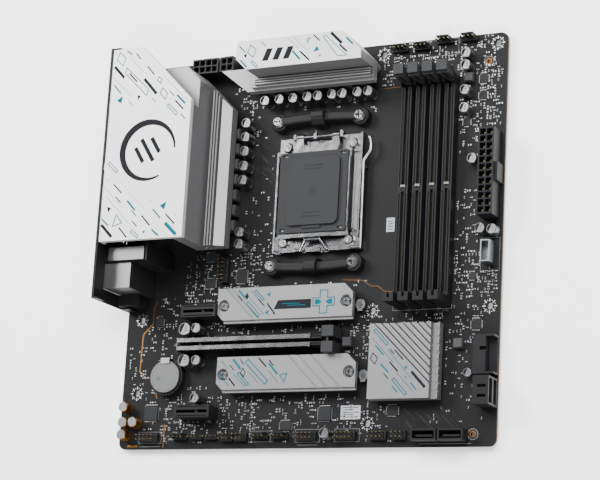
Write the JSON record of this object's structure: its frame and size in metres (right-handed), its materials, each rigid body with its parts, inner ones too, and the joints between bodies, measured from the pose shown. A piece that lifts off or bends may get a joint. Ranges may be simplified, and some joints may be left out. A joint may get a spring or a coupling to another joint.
{
  "type": "motherboard",
  "caption": "Square desktop computer motherboard: processor socket with load plate and lever, latched memory slots, card slots, metal heatsinks, drive bays and rear ports.",
  "frame": {"origin": "underside end of the mounting hole nearest the rear ports and the first card slot (the datum hole of the board standard)", "axes": "+X from the rear ports towards the front edge, +Y up the board towards its top edge, +Z out of the component side"},
  "size_m": [0.2541, 0.2438, 0.047],
  "materials": {
    "board_laminate": "matt black solder mask over laminate",
    "white_heatsink": "sand-blasted and silver-white coated",
    "ribbed_aluminium": "machined, satin",
    "bright_steel": "bright stamped steel",
    "dark_steel": "grey plated steel",
    "screw_steel": "nickel plated",
    "port_shell": "tin plated, satin",
    "gold_contact": "gold plated",
    "aerial_brass": "gold plated thread",
    "black_plastic": "moulded black",
    "cap_plastic": "moulded black, fine texture",
    "grey_plastic": "moulded dark grey",
    "rear_plate_paint": "black powder coat",
    "coil_ferrite": "pressed ferrite",
    "thermal_pad": "soft silicone sheet",
    "capacitor_can": "bare can",
    "chip_epoxy": "moulded epoxy",
    "chipset_carrier": "laminate with bare silicon",
    "radio_case": "moulded black with metal label",
    "cell_steel": "nickel plated"
  },
  "bodies": {
    "board": {"circuit_board": "board_laminate", "cooler_backplate": "dark_steel", "cooler_bracket_upper": "black_plastic", "cooler_bracket_lower": "black_plastic", "cooler_screws": "screw_steel", "socket_body": "black_plastic", "socket_contacts": "gold_contact", "socket_frame": "bright_steel", "socket_screws": "screw_steel", "dimm_slot_1": "black_plastic", "dimm_slot_2": "black_plastic", "dimm_slot_3": "black_plastic", "dimm_slot_4": "black_plastic", "graphics_slot": "black_plastic", "graphics_sleeve": "bright_steel", "short_slots": "black_plastic", "slot_contacts": "gold_contact", "rear_cover": "white_heatsink", "rear_heatsink": "ribbed_aluminium", "upper_heatsink": "white_heatsink", "heatsink_screws": "screw_steel", "power_coils": "coil_ferrite", "power_stages": "chip_epoxy", "thermal_pads": "thermal_pad", "drive_heatsink_upper": "white_heatsink", "drive_heatsink_lower": "white_heatsink", "drive_screws": "screw_steel", "drive_standoffs": "screw_steel", "drive_sockets": "black_plastic", "chipset_heatsink": "white_heatsink", "chipset": "chipset_carrier", "rear_plate": "rear_plate_paint", "display_ports": "port_shell", "usb_stacks": "port_shell", "lan_port": "port_shell", "audio_jacks": "black_plastic", "aerial_posts": "aerial_brass", "radio_module": "radio_case", "optical_port": "black_plastic", "button_switch": "black_plastic", "power_sockets": "black_plastic", "front_usb_sockets": "black_plastic", "sata_sockets": "black_plastic", "header_bases": "black_plastic", "connector_pins": "gold_contact", "battery_holder": "black_plastic", "battery_cell": "cell_steel", "capacitors": "capacitor_can", "chips": "chip_epoxy"},
    "load_plate": {"load_plate": "bright_steel"},
    "socket_cap": {"socket_cap": "cap_plastic"},
    "socket_lever": {"socket_lever": "bright_steel"},
    "dimm_latch_1": {"dimm_latch_1": "grey_plastic"},
    "dimm_latch_2": {"dimm_latch_2": "grey_plastic"},
    "dimm_latch_3": {"dimm_latch_3": "grey_plastic"},
    "dimm_latch_4": {"dimm_latch_4": "grey_plastic"},
    "graphics_latch": {"graphics_latch": "grey_plastic"},
    "drive_clip_upper": {"drive_clip_upper": "dark_steel"},
    "drive_clip_lower": {"drive_clip_lower": "dark_steel"},
    "flash_button": {"flash_button": "grey_plastic"}
  },
  "joints": [
    {"name": "load_plate_hinge", "type": "hinge", "parent": "board", "child": "load_plate", "pos_m": [0.11744, 0.10803, 0.0054], "axis": [-1, 0, 0], "range_deg": [0, 100]},
    {"name": "socket_cap_lift", "type": "slide", "parent": "load_plate", "child": "socket_cap", "axis": [0, 0, 1], "range_m": [0, 0.005]},
    {"name": "socket_lever_hinge", "type": "hinge", "parent": "board", "child": "socket_lever", "pos_m": [0.11744, 0.03783, 0.0048], "axis": [1, 0, 0], "range_deg": [0, 105]},
    {"name": "dimm_latch_1_hinge", "type": "hinge", "parent": "board", "child": "dimm_latch_1", "pos_m": [0.17364, 0.13748, 0.0048], "axis": [-1, 0, 0], "range_deg": [0, 30]},
    {"name": "dimm_latch_2_hinge", "type": "hinge", "parent": "board", "child": "dimm_latch_2", "pos_m": [0.18274, 0.13748, 0.0048], "axis": [-1, 0, 0], "range_deg": [0, 30]},
    {"name": "dimm_latch_3_hinge", "type": "hinge", "parent": "board", "child": "dimm_latch_3", "pos_m": [0.19184, 0.13748, 0.0048], "axis": [-1, 0, 0], "range_deg": [0, 30]},
    {"name": "dimm_latch_4_hinge", "type": "hinge", "parent": "board", "child": "dimm_latch_4", "pos_m": [0.20094, 0.13748, 0.0048], "axis": [-1, 0, 0], "range_deg": [0, 30]},
    {"name": "graphics_latch_hinge", "type": "hinge", "parent": "board", "child": "graphics_latch", "pos_m": [0.13274, -0.01827, 0.0052], "axis": [0, 1, 0], "range_deg": [0, 15]},
    {"name": "drive_clip_upper_turn", "type": "hinge", "parent": "board", "child": "drive_clip_upper", "pos_m": [0.14854, 0.00353, 0.0036], "axis": [0, 0, -1], "range_deg": [0, 90]},
    {"name": "drive_clip_lower_turn", "type": "hinge", "parent": "board", "child": "drive_clip_lower", "pos_m": [0.15254, -0.03837, 0.0036], "axis": [0, 0, -1], "range_deg": [0, 90]},
    {"name": "flash_button_press", "type": "slide", "parent": "board", "child": "flash_button", "axis": [1, 0, 0], "range_m": [0, 0.0008], "stiffness_N_per_m": 400, "springref_m": -0.001}
  ]
}
